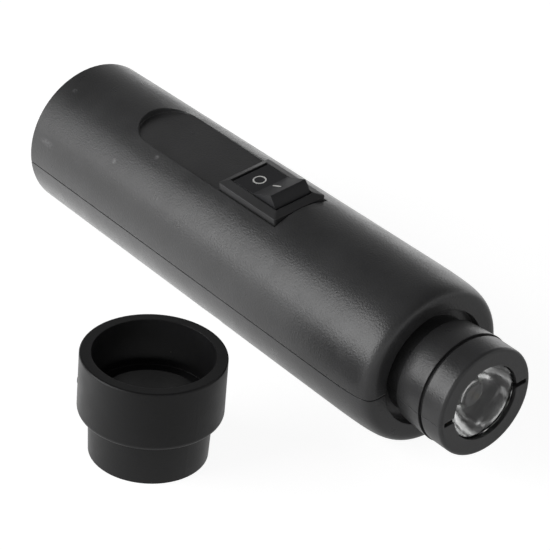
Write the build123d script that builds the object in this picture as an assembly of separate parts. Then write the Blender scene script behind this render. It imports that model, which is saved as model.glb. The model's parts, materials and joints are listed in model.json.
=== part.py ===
"""Battery egg candling lamp: a moulded clamshell body that holds three cells, a rocker switch and a lens
in its neck, with a loose push-on cap that stands beside it.

Lamp frame: +X is the way the beam leaves, x = 0 is the front face of the neck, +Z is the switch side,
and the seam between the two shells lies in the plane z = 0. The finished lamp is rolled and tipped onto
the surface that it lies on, and the whole assembly is centred over its footprint. Sizes are millimetres.
"""

from build123d import *
from math import atan2, cos, degrees, pi, radians, sin, sqrt, tan
import os

# Body shells
body_length = 147.0
front_radius = 20.0
rear_radius = 19.0
wall = 2.0
shoulder_start = -30.9
shoulder_face = -16.8
shoulder_face_radius = 16.5
shoulder_fullness = 0.877

# Neck and the moat behind it
moat_radius = 14.25
moat_depth = 2.5
neck_core_radius = 11.9
neck_base = -14.7
neck_base_radius = 12.9
neck_flare_radius = 13.5
neck_bore = 10.3
neck_step_bore = 8.6
nose_ring_length = 6.1
nose_ring_radius = 13.3
nose_ring_round = 0.8
snap_groove_width = 0.9
snap_groove_radius = 12.7
front_wall = 1.6
aperture_radius = 9.2
face_slot_width = 1.2
face_slot_reach = 12.1

# Seam between the shells
seam_gap = 0.3
seam_gap_depth = 0.8
neck_seam_gap = 0.15
neck_seam_depth = 0.4
lip_height = 1.2
lip_thickness = 0.9
fit_clearance = 0.1
loose_clearance = 0.3

# How the lamp lies
lamp_roll = 8.0
cap_along = -48.7
cap_across = -54.2

# Cells, seen along the beam: one at the bottom and two above it, as wide as the body takes
cell_door_gap = 0.405
cell_length = 50.5
cell_gap = 0.15
cell_nub_radius = 2.7
cell_nub_height = 1.2
cell_sleeve_round = 0.6
bundle_drop = 1.0
cell_facing = {"right": False, "left": True, "lower": True}
contact_thickness = 0.4
contact_width = 8.0
contact_spring_length = 3.6
contact_wire = 0.35
contact_coil_radius = 3.4
contact_coil_end_radius = 2.2
contact_coil_turns = 2.5
contact_tab_width = 2.4
carrier_thickness = 1.6
rib_thickness = 1.6
rib_count = 3
rib_pitch = 13.0
rib_core_radius = 8.8
carrier_rib_depth = 1.5

# Battery door on the underside
door_length = 55.0
door_half_width = 12.0
door_thickness = 1.8
door_tongue_thickness = 1.2
door_tongue_overlap = 1.2
door_front_tongue = 2.4
door_front_tongue_start = 6.6
door_grip_count = 5
door_grip_pitch = 2.4
door_grip_width = 1.1
door_grip_depth = 0.6
door_grip_length = 13.0
door_grip_inset = 7.0

# Screws that hold the shells together
screw_stations = (-2.75, 35.25)
screw_side = 11.5
screw_shank_radius = 1.2
screw_head_radius = 2.5
screw_head_height = 1.9
screw_head_level = -9.0
screw_tip_level = 6.0
boss_radius = 3.0
screw_recess_depth = 0.9
screw_recess_width = 0.6
screw_recess_share = 0.6

# Rocker switch
switch_to_bay = 4.15
bezel_length = 21.0
bezel_width = 15.0
bezel_rim_height = 2.0
bezel_inner_height = 2.8
bezel_corner = 0.6
pad_sink = 2.035
pad_thickness = 2.0
pad_margin = 1.0
pocket_reach = 46.75
pocket_clearance = 0.35
switch_body_length = 18.8
switch_body_width = 12.8
switch_wall = 0.9
switch_depth = 12.6
switch_floor_thickness = 1.4
clip_reach = 0.55
clip_height = 4.0
clip_width = 4.0
rocker_half_width = 5.15
rocker_end_radius = 8.2
rocker_side_gap = 0.25
rocker_end_gap = 0.3
rocker_valley = 2.6
rocker_throw = 22.0
rocker_skirt = 3.6
rocker_wall = 1.1
rocker_edge_round = 0.35
axle_radius = 1.2
axle_reach = 0.8
running_clearance = 0.05
plunger_radius = 1.3
plunger_length = 6.0
plunger_drop = 7.4
plunger_gap = 0.1
plunger_bore_depth = 4.6
plunger_spring_wire = 0.2
plunger_spring_turns = 3.0
arm_half_length = 5.6
arm_width = 3.6
arm_thickness = 0.7
arm_ratio = -0.5
arm_bar_radius = 0.6
arm_button_radius = 1.1
arm_button_height = 0.5
terminal_width = 4.0
terminal_thickness = 0.8
terminal_reach = 7.5
cradle_wall = 0.6
load_offset = 4.6

# Light engine in the neck
lens_flange_radius = 10.0
lens_flange_thickness = 1.4
lens_front_radius = 8.95
lens_recess = 0.9
lens_dome = 0.6
lens_foot_radius = 4.0
lens_length = 11.9
lens_cavity_radius = 2.9
lens_cavity_depth = 4.4
holder_wall = 0.8
holder_floor = 1.2
holder_length = 11.2
board_radius = 10.1
board_thickness = 1.6
emitter_side = 3.5
emitter_base = 0.7
emitter_dome_radius = 1.35
resistor_radius = 1.1
resistor_length = 5.6
resistor_height = 3.2
resistor_leg_radius = 0.25
lead_radius = 0.6
lead_bend = 1.4
lead_level = 13.0
lead_turn_gap = 1.9
lead_spread = 5.0
lead_low_level = -5.6

# Loose cap, standing on its narrow end with its socket up
cap_height = 25.2
cap_socket_radius = 13.7
cap_socket_depth = 11.8
cap_cup_radius = 16.3
cap_nose_radius = 13.4
cap_nose_top_radius = 13.8
cap_nose_bore = 11.4
cap_step_level = 10.4
cap_step_round = 1.3
cap_rim_round = 0.5

beyond = 2 * max(front_radius, rear_radius)
neck_floor = shoulder_face - moat_depth - wall
taper = (front_radius - rear_radius) / (body_length + shoulder_start)
tip_angle = degrees(atan2(front_radius - rear_radius, body_length + shoulder_start))
rear_inner = -body_length + wall
door_front = -body_length + door_length
door_radius = rear_radius + min(0, taper * (door_length + door_front_tongue))
cell_room = door_radius - door_thickness - cell_door_gap
cell_radius = (cell_room - bundle_drop - cell_gap * 2 / sqrt(3)) / (1 + 2 / sqrt(3))
pitch_radius = (cell_radius + cell_gap) * 2 / sqrt(3)
cell_centres = {
    name: (pitch_radius * cos(radians(turn)), pitch_radius * sin(radians(turn)) - bundle_drop)
    for name, turn in (("right", 30), ("left", 150), ("lower", 270))
}
rear_contact_face = rear_inner + fit_clearance + carrier_thickness + contact_thickness
front_contact_face = rear_contact_face + cell_length + contact_spring_length
front_carrier_face = front_contact_face + contact_thickness
switch_centre = front_carrier_face + carrier_thickness + switch_to_bay + switch_body_length / 2
pad_level = rear_radius + taper * (switch_centre + body_length) - pad_sink
bezel_rim_level = pad_level + bezel_rim_height
bezel_inner_level = pad_level + bezel_inner_height
switch_floor_level = pad_level - switch_depth
rocker_pivot_level = bezel_inner_level - rocker_valley * cos(radians(rocker_throw / 2))
arm_pivot_level = rocker_pivot_level - plunger_drop - plunger_gap - arm_thickness
switch_top = switch_floor_level + switch_floor_thickness
lens_flange_front = -front_wall - running_clearance
lens_flange_back = lens_flange_front - lens_flange_thickness - running_clearance
board_front = lens_flange_back - holder_length - fit_clearance
board_back = board_front - board_thickness
tongue_outer = door_radius - wall - loose_clearance


def body_radius(x):
    """Outer radius of the straight body at a station along the lamp."""
    return rear_radius + taper * (x + body_length)


def turned(outline):
    """Solid of revolution about the lamp's axis from an outline drawn in (x, radius)."""
    return revolve(Plane.XZ * make_face(outline), Axis.X)


def tube(x_low, x_high, outer, inner=0.0):
    """Plain ring or rod about the lamp's axis between two stations."""
    length = x_high - x_low
    ring = Circle(outer) - Circle(inner) if inner else Circle(outer)
    return extrude(Plane.YZ.offset(x_low) * ring, length)


def block(x, y, z):
    """Box between the pairs of limits on each axis."""
    size = [high - low for low, high in (x, y, z)]
    middle = [(high + low) / 2 for low, high in (x, y, z)]
    return Pos(*middle) * Box(*size)


def half_space(level, upward):
    """Large block above or below a level, used to part the shells."""
    z = (level, beyond) if upward else (-beyond, level)
    return block((-body_length - beyond, beyond), (-beyond, beyond), z)


def body_outline(inset, end_x, end_radius):
    """Half outline of the body, from the rear face round the full shoulder to its flat face."""
    rear = -body_length + inset
    rear_r, front_r = rear_radius - inset, front_radius - inset
    along, across = end_x - shoulder_start, front_r - end_radius
    shoulder = Bezier(
        (shoulder_start, front_r),
        (shoulder_start + shoulder_fullness * along, front_r),
        (end_x, end_radius + shoulder_fullness * across),
        (end_x, end_radius),
    )
    straight = Polyline((end_x, 0), (rear, 0), (rear, rear_r), (shoulder_start, front_r))
    return straight + shoulder + Line((end_x, end_radius), (end_x, 0))


def neck_outline():
    """Outline of the neck: undercut core, flared ring, snap groove and rounded nose ring."""
    groove = -nose_ring_length - snap_groove_width
    lines = Polyline(
        (neck_floor, 0), (neck_floor, neck_core_radius), (neck_base, neck_core_radius),
        (neck_base, neck_base_radius), (groove, neck_flare_radius), (groove, snap_groove_radius),
        (-nose_ring_length, snap_groove_radius), (-nose_ring_length, nose_ring_radius),
        (-nose_ring_round, nose_ring_radius),
    )
    edge = CenterArc((-nose_ring_round, nose_ring_radius - nose_ring_round), nose_ring_round, 0, 90)
    return lines + edge + Polyline((0, nose_ring_radius - nose_ring_round), (0, 0), (neck_floor, 0))


def whole_body():
    """Outside of both shells together, with the moat sunk into the shoulder round the neck."""
    body = turned(body_outline(0, shoulder_face, shoulder_face_radius))
    body -= tube(shoulder_face - moat_depth, 0, moat_radius)
    return body + turned(neck_outline())


def cavity():
    """Inside of both shells together: the body space, the stepped neck bore and the light's way out."""
    inner_shoulder = shoulder_face_radius - wall + loose_clearance
    space = turned(body_outline(wall, neck_floor, inner_shoulder))
    space += tube(neck_floor, board_back - fit_clearance, neck_step_bore)
    space += tube(board_back - fit_clearance, -front_wall, neck_bore)
    space += tube(-front_wall, 0, aperture_radius)
    for side in (-1, 1):
        reach = sorted((side * neck_step_bore, side * face_slot_reach))
        space += block((-front_wall, 0), reach, (-face_slot_width / 2, face_slot_width / 2))
    return space


def wall_band(outer_inset, inner_inset):
    """Layer of the body wall between two depths below the outside, rear face included."""
    outer = turned(body_outline(outer_inset, shoulder_face - outer_inset, shoulder_face_radius))
    return outer - turned(body_outline(inner_inset, shoulder_face - inner_inset, shoulder_face_radius))


def cell_circles(growth):
    """Rods along the lamp over each cell, used to cut the seats that hug the cells."""
    rods = [
        Pos(0, y, z) * tube(rear_inner, front_contact_face, cell_radius + growth)
        for y, z in cell_centres.values()
    ]
    return rods[0] + rods[1:]


def cell_ribs():
    """Ribs across the battery bay, cut to the outline of the cells and clear of the door."""
    middle = (rear_contact_face + front_contact_face) / 2
    ribs = []
    for index in range(rib_count):
        x = middle + (index - (rib_count - 1) / 2) * rib_pitch
        radius = body_radius(x) - wall / 2
        ribs.append(tube(x - rib_thickness / 2, x + rib_thickness / 2, radius, rib_core_radius))
    door_way = door_half_width + door_tongue_overlap + 2 * loose_clearance
    plate = ribs[0] + ribs[1:]
    plate -= cell_circles(loose_clearance)
    inner_edge = tongue_outer - door_tongue_thickness - loose_clearance
    outer_way = tube(rear_inner, 0, beyond, inner_edge)
    plate -= outer_way & block((rear_inner, 0), (-door_way, door_way), (-beyond, 0))
    keep_out = door_half_width - door_tongue_overlap
    plate -= block((rear_inner, 0), (-keep_out, keep_out), (-beyond, -bundle_drop))
    lead_way = lead_radius + loose_clearance
    plate -= block((rear_inner, 0), (-lead_way, lead_way), (0, lead_level + lead_way))
    return plate


def carrier_ribs():
    """Low rings on the wall that trap the front contact carrier between them."""
    gap = fit_clearance
    front = front_carrier_face + carrier_thickness + gap
    rings = []
    for low in (front, front_carrier_face - gap - rib_thickness / 2):
        outer = body_radius(low) - wall / 2
        rings.append(tube(low, low + rib_thickness / 2, outer, body_radius(low) - wall - carrier_rib_depth))
    return rings[0] + rings[1]


def screw_positions():
    """Axes of the screws, as (x, y) pairs; their stations are counted from the switch."""
    return [(switch_centre + x, side * screw_side) for x in screw_stations for side in (-1, 1)]


def rod_z(x, y, low, high, radius):
    """Upright rod between two levels."""
    return Pos(x, y, (low + high) / 2) * Cylinder(radius, high - low)


def inside_wall():
    """Everything inside the middle of the body wall: what is rooted in the wall is cut to this."""
    return turned(body_outline(wall / 2, neck_floor, shoulder_face_radius - wall))


def bosses(upward):
    """Screw posts of one shell, from the seam to its wall."""
    z = (0, beyond) if upward else (-beyond, 0)
    posts = [rod_z(x, y, *z, boss_radius) for x, y in screw_positions()]
    return (posts[0] + posts[1:]) & inside_wall()


def pocket_outline(clearance):
    """Flat sunk into the crown: straight at the switch, half round at its rear end."""
    half = bezel_width / 2 + clearance
    front = switch_centre + bezel_length / 2 + clearance
    rear_centre = switch_centre - pocket_reach + half
    flat = Pos((front + rear_centre) / 2, 0) * Rectangle(front - rear_centre, 2 * half)
    return flat + Pos(rear_centre, 0) * Circle(half)


def upper_shell():
    """Switch-side half: sunk flat with its pad, switch cut-out, cell ribs, posts and seam lip."""
    shell = (whole_body() - cavity()) & half_space(0, True)
    lip_layer = wall_band(wall - lip_thickness, wall)
    lip = lip_layer & block((-body_length, neck_floor), (-beyond, beyond), (-lip_height, 0))
    pad = extrude(Plane.XY.offset(pad_level - pad_thickness) * pocket_outline(pad_margin), pad_thickness)
    ribs = (cell_ribs() + carrier_ribs()) & half_space(fit_clearance, True)
    shell += (pad & inside_wall()) + ribs + bosses(True)
    shell += lip
    shell -= extrude(Plane.XY.offset(pad_level) * pocket_outline(pocket_clearance), beyond)
    half_l, half_w = switch_body_length / 2 + fit_clearance, switch_body_width / 2 + fit_clearance
    shell -= block(
        (switch_centre - half_l, switch_centre + half_l), (-half_w, half_w), (0, beyond)
    )
    for x, y in screw_positions():
        shell -= rod_z(x, y, -lip_height, screw_tip_level + wall, screw_shank_radius + running_clearance)
    return shell


def door_tongue_profile(growth):
    """End view of the two tongues that run under the edges of the door opening."""
    ring = Circle(tongue_outer + growth) - Circle(tongue_outer - door_tongue_thickness - growth)
    reach = door_half_width + door_tongue_overlap + growth
    inside = door_half_width - door_tongue_overlap - growth
    sides = [
        Pos(side * (reach + inside) / 2, -beyond / 2) * Rectangle(reach - inside, beyond)
        for side in (-1, 1)
    ]
    return ring & (sides[0] + sides[1])


def door_panel(thickness, inset):
    """Piece of the body wall over the door opening, with its edges drawn in by a clearance."""
    half = door_half_width - inset
    skin = turned(body_outline(0, shoulder_face, shoulder_face_radius))
    skin -= turned(body_outline(thickness, shoulder_face, shoulder_face_radius)) + tube(
        -body_length, rear_inner, rear_radius - thickness
    )
    return skin & block((-body_length, door_front - inset), (-half, half), (-beyond, 0))


def battery_door():
    """Curved door: outer skin, side tongues, a front tongue under the shell and thumb grooves."""
    panel = door_panel(door_thickness, fit_clearance)
    tongues = extrude(
        Plane.YZ.offset(-body_length) * door_tongue_profile(0), door_length - fit_clearance
    )
    ridge_inset = 2 * door_tongue_overlap
    joins = []
    for side in (-1, 1):
        low, high = sorted((side * (door_half_width - ridge_inset), side * (door_half_width - fit_clearance)))
        joins.append(block((-body_length, door_front - fit_clearance), (low, high), (-beyond, 0)))
    inner_edge = tongue_outer - door_tongue_thickness
    rim = turned(body_outline(door_thickness / 2, shoulder_face, shoulder_face_radius))
    web = (rim - tube(-body_length, 0, inner_edge)) & (joins[0] + joins[1])
    front = tube(door_front - 2 * door_front_tongue, door_front + door_front_tongue, tongue_outer,
                 tongue_outer - door_tongue_thickness)
    tabs = []
    for side in (-1, 1):
        low, high = sorted((side * door_front_tongue_start, side * (door_half_width - ridge_inset)))
        tabs.append(block((-body_length, 0), (low, high), (-beyond, 0)))
    tabs = tabs[0] + tabs[1]
    root = tube(
        door_front - 2 * door_front_tongue, door_front - fit_clearance, beyond, inner_edge
    )
    door = panel + tongues + web + (front & tabs) + (root & rim & tabs)
    for index in range(door_grip_count):
        x = door_front - door_grip_inset - index * door_grip_pitch
        level = body_radius(x)
        groove = tube(x - door_grip_width / 2, x + door_grip_width / 2, level + wall, level - door_grip_depth)
        half = door_grip_length / 2
        door -= groove & block((-body_length, 0), (-half, half), (-beyond, 0))
    return door


def lower_shell():
    """Underside half: door opening, tongue ways, screw posts with head recesses and seam rabbet."""
    shell = (whole_body() - cavity()) & half_space(0, False)
    shell += (cell_ribs() + carrier_ribs()) & half_space(-lip_height - fit_clearance, False)
    shell += bosses(False)
    width = (-beyond, beyond)
    gap_band = wall_band(0, seam_gap_depth) - tube(neck_floor, 0, moat_radius)
    shell -= gap_band & block((-body_length, 0), width, (-seam_gap, 0))
    neck_skin = tube(shoulder_face - moat_depth, 0, beyond, nose_ring_radius - neck_seam_depth)
    shell -= neck_skin & block((-body_length, 0), width, (-neck_seam_gap, 0))
    rabbet = wall_band(wall - lip_thickness - fit_clearance, wall + fit_clearance)
    shell -= rabbet & block((-body_length, neck_floor), width, (-lip_height - fit_clearance, 0))
    shell -= door_panel(rear_radius - tongue_outer + door_tongue_thickness + fit_clearance, 0)
    rear_way = extrude(Plane.YZ.offset(-body_length) * door_tongue_profile(fit_clearance), wall)
    shell -= rear_way
    half = door_half_width
    way = tube(-body_length, door_front, beyond, rear_radius - door_thickness - fit_clearance)
    shell -= way & block((-body_length, door_front), (-half, half), (-beyond, 0))
    for x, y in screw_positions():
        shell -= rod_z(x, y, -beyond, 0, screw_shank_radius + loose_clearance)
        head_seat = screw_head_level - fit_clearance
        shell -= rod_z(x, y, -beyond, head_seat, screw_head_radius + loose_clearance)
    return shell


def shell_screws():
    """Four pan-head screws, driven from the underside through the lower posts into the upper ones."""
    screws = []
    for x, y in screw_positions():
        under_head = screw_head_level - 2 * fit_clearance
        head = rod_z(x, y, under_head - screw_head_height, under_head, screw_head_radius)
        head = fillet(head.faces().sort_by(Axis.Z)[0].edges(), screw_head_height / 2)
        shank = rod_z(x, y, under_head, screw_tip_level - screw_shank_radius, screw_shank_radius)
        tip = Pos(x, y, screw_tip_level - screw_shank_radius / 2) * Cone(
            screw_shank_radius, screw_shank_radius / 3, screw_shank_radius
        )
        low = under_head - screw_head_height
        arm_length = 2 * screw_head_radius * screw_recess_share
        drive = [
            Pos(x, y, low) * Rot(0, 0, turn) * Box(arm_length, screw_recess_width, 2 * screw_recess_depth)
            for turn in (0, 90)
        ]
        screws.append(head + shank + tip - drive)
    return Compound(children=screws)


def cell(name, forward):
    """One round cell lying along the lamp: sleeve with rounded ends and the raised pole."""
    y, z = cell_centres[name]
    can_length = cell_length - cell_nub_height
    start = rear_contact_face + (contact_spring_length if forward else 0)
    low = start if forward else start + cell_nub_height
    can = Pos(0, y, z) * tube(low, low + can_length, cell_radius)
    can = fillet(can.edges(), cell_sleeve_round)
    nub_low = low + can_length if forward else start
    return can + Pos(0, y, z) * tube(nub_low, nub_low + cell_nub_height, cell_nub_radius)


def contact_plate(face, thickness, start, end=None, tab=None):
    """Sheet contact lying against a carrier: a disc or a bridge between two cells, with an optional tab."""
    outline = Pos(*start) * Circle(contact_width / 2)
    if end:
        (y0, z0), (y1, z1) = start, end
        turn = degrees(atan2(z1 - z0, y1 - y0))
        bridge = Rectangle(sqrt((y1 - y0) ** 2 + (z1 - z0) ** 2), contact_width)
        outline += Pos((y0 + y1) / 2, (z0 + z1) / 2) * Rot(0, 0, turn) * bridge
        outline += Pos(*end) * Circle(contact_width / 2)
    if tab:
        (y0, z0), (y1, z1) = start, tab
        turn = degrees(atan2(z1 - z0, y1 - y0))
        strip = Rectangle(sqrt((y1 - y0) ** 2 + (z1 - z0) ** 2), contact_tab_width)
        outline += Pos((y0 + y1) / 2, (z0 + z1) / 2) * Rot(0, 0, turn) * strip
        outline += Pos(*tab) * Circle(contact_tab_width / 2)
    return extrude(Plane.YZ.offset(face) * outline, thickness)


def front_contact_carrier():
    """Disc between the cells and the switch, with a notch and a hole for the leads."""
    radius = body_radius(front_carrier_face) - wall - loose_clearance
    disc = tube(front_carrier_face, front_carrier_face + carrier_thickness, radius)
    way = lead_radius + loose_clearance
    notch = block((front_carrier_face, 0), (-way, way), (lead_level - way, beyond))
    hole_y, hole_z = positive_lead_start()
    disc &= half_space(pad_level - pad_thickness - loose_clearance, False)
    return disc - notch - Pos(0, hole_y, hole_z) * tube(front_carrier_face, 0, way)


def rear_contact_carrier():
    """Disc against the rear wall, drawn in below the seam to clear the door's tongues."""
    low = rear_inner + fit_clearance
    upper = tube(low, low + carrier_thickness, rear_radius - wall - loose_clearance)
    lower = tube(low, low + carrier_thickness, tongue_outer - door_tongue_thickness - loose_clearance)
    return (upper & half_space(0, True)) + (lower & half_space(0, False))


def coil(wire, start_radius, end_radius, length, turns):
    """Spring along +X from the origin, swept along quarter-turn arcs that follow a tapered helix."""
    steps = int(turns * 4)

    def at(step):
        share = step / steps
        radius = start_radius + (end_radius - start_radius) * share
        turn = share * turns * 2 * pi
        return Vector(wire + share * (length - 2 * wire), radius * cos(turn), radius * sin(turn))

    arcs = []
    direction = Vector((length - 2 * wire) / (turns * 2 * pi * start_radius), 0, 1)
    for step in range(steps):
        arc = TangentArc(at(step), at(step + 1), tangent=direction)
        direction = arc % 1
        arcs.append(arc)
    path = Wire(arcs)
    section = Plane(origin=at(0), z_dir=path % 0) * Circle(wire)
    return sweep(section, path=path)


def contact_springs():
    """Conical springs at the flat ends of the three cells."""
    length = contact_spring_length - 2 * running_clearance
    springs = []
    for name, forward in cell_facing.items():
        y, z = cell_centres[name]
        spring = coil(contact_wire, contact_coil_radius, contact_coil_end_radius, length, contact_coil_turns)
        if forward:
            springs.append(Pos(rear_contact_face + running_clearance, y, z) * spring)
        else:
            springs.append(Pos(front_contact_face - running_clearance, y, z) * Rot(0, 0, 180) * spring)
    return Compound(children=springs)


def positive_lead_start():
    """Point on the lower cell's front contact where its lead is soldered, as (y, z)."""
    return cell_centres["lower"]


def lead(*points):
    """Insulated wire along straight runs with rounded turns."""
    path = FilletPolyline(*points, radius=lead_bend)
    section = Plane(origin=path @ 0, z_dir=path % 0) * Circle(lead_radius)
    return sweep(section, path=path)


def leads():
    """The three wires: cells to board, cells to switch, switch to board."""
    board = board_back - running_clearance
    turn_x = front_carrier_face + carrier_thickness + lead_turn_gap
    tab_end = terminal_bottom() - running_clearance
    low = lead_low_level
    cells_to_board = lead(
        (rear_contact_face + running_clearance, 0, lead_level),
        (turn_x, 0, lead_level), (turn_x, -lead_spread / 2, low), (board, -lead_spread / 2, low),
    )
    y, z = positive_lead_start()
    contact = front_contact_face + contact_thickness + running_clearance
    cells_to_switch = lead((contact, y, z), (switch_centre, y, z), (switch_centre, y, tab_end))
    load_x = switch_centre - load_offset
    switch_to_board = lead(
        (load_x, 0, tab_end), (load_x, 0, low), (load_x, lead_spread, low), (board, lead_spread, low)
    )
    return cells_to_board, cells_to_switch, switch_to_board


def switch_housing():
    """Snap-in switch body: sloped bezel, rocker well, axle holes, terminal slots and end clips."""
    half_l, half_w = switch_body_length / 2, switch_body_width / 2
    box = block((-half_l, half_l), (-half_w, half_w), (switch_floor_level, pad_level))
    rim = RectangleRounded(bezel_length, bezel_width, bezel_corner)
    flange = extrude(Plane.XY.offset(pad_level) * rim, bezel_rim_level - pad_level)
    well_l = rocker_end_radius + rocker_end_gap
    well_w = rocker_half_width + rocker_side_gap
    lip = RectangleRounded(2 * well_l + rocker_edge_round, 2 * well_w + rocker_edge_round, bezel_corner / 2)
    slope = loft([Plane.XY.offset(bezel_rim_level) * rim, Plane.XY.offset(bezel_inner_level) * lip])
    body = box + flange + slope
    body -= block((-well_l, well_l), (-well_w, well_w), (switch_top, beyond))
    hole_end = rocker_half_width + axle_reach + rocker_side_gap
    axle = Pos(0, 0, rocker_pivot_level) * Rot(90, 0, 0) * Cylinder(axle_radius + running_clearance, 2 * hole_end)
    body -= axle
    for x in (0, -load_offset):
        slot_x = terminal_thickness / 2 + running_clearance
        slot_y = terminal_width / 2 + running_clearance
        body -= block((x - slot_x, x + slot_x), (-slot_y, slot_y), (0, pad_level))
    catch = pad_level - pad_thickness - fit_clearance
    for side in (-1, 1):
        wedge = Polyline((0, catch), (clip_reach, catch), (0, catch - clip_height), close=True)
        clip = extrude(Plane.XZ * make_face(wedge), clip_width / 2, both=True)
        clip = clip if side > 0 else Rot(0, 0, 180) * clip
        body += Pos(side * half_l, 0, 0) * clip
    return Pos(switch_centre, 0, 0) * body


def rocker_outline(end_radius, valley, skirt):
    """Side view of the rocker about its pivot: two slopes that meet in a valley, ends round the pivot."""
    slope = tan(radians(rocker_throw / 2))
    a, b, c = 1 + slope**2, 2 * valley * slope, valley**2 - end_radius**2
    ridge_x = (-b + sqrt(b * b - 4 * a * c)) / (2 * a)
    ridge_z = valley + slope * ridge_x
    foot_x = sqrt(end_radius**2 - skirt**2)
    front = ThreePointArc((ridge_x, ridge_z), (end_radius, 0), (foot_x, -skirt))
    rear = ThreePointArc((-foot_x, -skirt), (-end_radius, 0), (-ridge_x, ridge_z))
    top = Polyline((-ridge_x, ridge_z), (0, valley), (ridge_x, ridge_z))
    return make_face(rear + top + front + Line((foot_x, -skirt), (-foot_x, -skirt)))


def rocker_at_rest(solid):
    """Turn a piece built about the pivot to the off position, rear end down."""
    return Pos(switch_centre, 0, rocker_pivot_level) * Rot(0, -rocker_throw / 2, 0) * solid


def rocker():
    """Hollow rocker cap with a plunger post and two axle stubs."""
    outside = extrude(
        Plane.XZ * rocker_outline(rocker_end_radius, rocker_valley, rocker_skirt), rocker_half_width, both=True
    )
    top_edges = [
        edge for edge in outside.edges().filter_by(Axis.Y)
        if edge.center().Z > 0 and abs(edge.center().X) > rocker_valley
    ]
    outside = fillet(top_edges, rocker_edge_round)
    inside = extrude(
        Plane.XZ * rocker_outline(rocker_end_radius - rocker_wall, rocker_valley - rocker_wall, rocker_skirt),
        rocker_half_width - rocker_wall, both=True,
    )
    post_bottom = -rocker_skirt - rocker_wall / 2
    post = rod_z(0, 0, post_bottom, rocker_valley - rocker_wall / 2, plunger_radius + rocker_wall)
    bore = rod_z(0, 0, post_bottom, post_bottom + plunger_bore_depth, plunger_radius + running_clearance)
    axle = Rot(90, 0, 0) * Cylinder(axle_radius, 2 * (rocker_half_width + axle_reach))
    axle -= block(*[(-rocker_half_width + rocker_wall / 2, rocker_half_width - rocker_wall / 2)] * 3)
    return rocker_at_rest(outside - inside + post - bore + axle)


def rocker_plunger():
    """Round-nosed plunger that hangs from the rocker and tips the contact arm."""
    low = -plunger_drop + plunger_radius
    pin = rod_z(0, 0, low, -plunger_drop + plunger_length, plunger_radius)
    return rocker_at_rest(pin + Pos(0, 0, low) * Sphere(plunger_radius))


def plunger_spring():
    """Small spring above the plunger, in the rocker's post."""
    low = -plunger_drop + plunger_length + running_clearance
    high = -rocker_skirt - rocker_wall / 2 + plunger_bore_depth - running_clearance
    radius = plunger_radius - plunger_spring_wire - running_clearance
    spring = coil(plunger_spring_wire, radius, radius, high - low, plunger_spring_turns)
    return rocker_at_rest(Pos(0, 0, low) * Rot(0, -90, 0) * spring)


def arm_tilt():
    """Angle of the contact arm in the off position, front end down."""
    return -arm_ratio * rocker_throw / 2


def contact_arm():
    """See-saw contact on a cross bar, with a round contact button under its rear end."""
    strip = block((-arm_half_length, arm_half_length), (-arm_width / 2, arm_width / 2), (0, arm_thickness))
    bar = Rot(90, 0, 0) * Cylinder(arm_bar_radius, arm_width + 2 * (cradle_wall + 2 * running_clearance))
    button = rod_z(-load_offset, 0, -arm_button_height, 0, arm_button_radius)
    arm = strip + bar + button
    return Pos(switch_centre, 0, arm_pivot_level) * Rot(0, arm_tilt(), 0) * arm


def terminal_bottom():
    """Level of the lower end of both terminals."""
    return switch_floor_level - terminal_reach


def terminal_tab(x):
    """Flat tab from the switch floor down to where its lead is soldered."""
    half = terminal_thickness / 2
    return block((x - half, x + half), (-terminal_width / 2, terminal_width / 2), (terminal_bottom(), switch_top))


def common_terminal():
    """Centre terminal: tab, foot and a two-sided cradle that carries the arm's bar."""
    reach = arm_width / 2 + 2 * running_clearance
    foot_half = 2 * arm_bar_radius
    foot_top = switch_top + terminal_thickness
    foot = block((-foot_half, foot_half), (-reach - cradle_wall, reach + cradle_wall), (switch_top, foot_top))
    cradle = foot
    for side in (-1, 1):
        low, high = sorted((side * reach, side * (reach + cradle_wall)))
        cradle += block((-foot_half, foot_half), (low, high), (switch_top, arm_pivot_level))
    seat = Pos(0, 0, arm_pivot_level) * Rot(90, 0, 0) * Cylinder(
        arm_bar_radius + running_clearance, bezel_width
    )
    return Pos(switch_centre, 0, 0) * (cradle - seat + terminal_tab(0))


def load_terminal():
    """Rear terminal: tab and a raised contact that the arm's button meets when the switch is on."""
    tilt = radians(arm_tilt())
    drop = (load_offset + arm_button_radius) * sin(tilt) + arm_button_height * cos(tilt)
    top = arm_pivot_level - drop - running_clearance
    contact = rod_z(-load_offset, 0, switch_top, top, arm_button_radius)
    return Pos(switch_centre, 0, 0) * (terminal_tab(-load_offset) + contact)


def domed_arc(edge_x, edge_radius, height):
    """Arc of a spherical face from its crown on the axis to its edge; a negative height faces backwards."""
    radius = (edge_radius**2 + height**2) / (2 * abs(height))
    half_turn = degrees(2 * atan2(abs(height), edge_radius))
    if height > 0:
        return CenterArc((edge_x + height - radius, 0), radius, 0, half_turn)
    return CenterArc((edge_x + height + radius, 0), radius, 180 - half_turn, half_turn)


def lens():
    """Solid collimator: domed front in the aperture, seating flange, flared body and lamp cavity."""
    edge_x = -lens_recess
    rear = edge_x - lens_length
    flange_rear = lens_flange_back + running_clearance
    throat = lens_flange_radius - holder_wall
    dome = domed_arc(edge_x, lens_front_radius, lens_dome)
    flange = Polyline(
        (edge_x, lens_front_radius), (lens_flange_front, lens_front_radius),
        (lens_flange_front, lens_flange_radius), (flange_rear, lens_flange_radius), (flange_rear, throat),
    )
    middle = ((flange_rear + rear) / 2, (throat + lens_foot_radius) / 2 + lens_dome)
    flare = ThreePointArc((flange_rear, throat), middle, (rear, lens_foot_radius))
    roof = rear + lens_cavity_depth
    mouth = Polyline((rear, lens_foot_radius), (rear, lens_cavity_radius), (roof, lens_cavity_radius))
    inner = domed_arc(roof, lens_cavity_radius, -lens_dome)
    return turned(dome + flange + flare + mouth + inner + Line((roof - lens_dome, 0), (edge_x + lens_dome, 0)))


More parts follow.
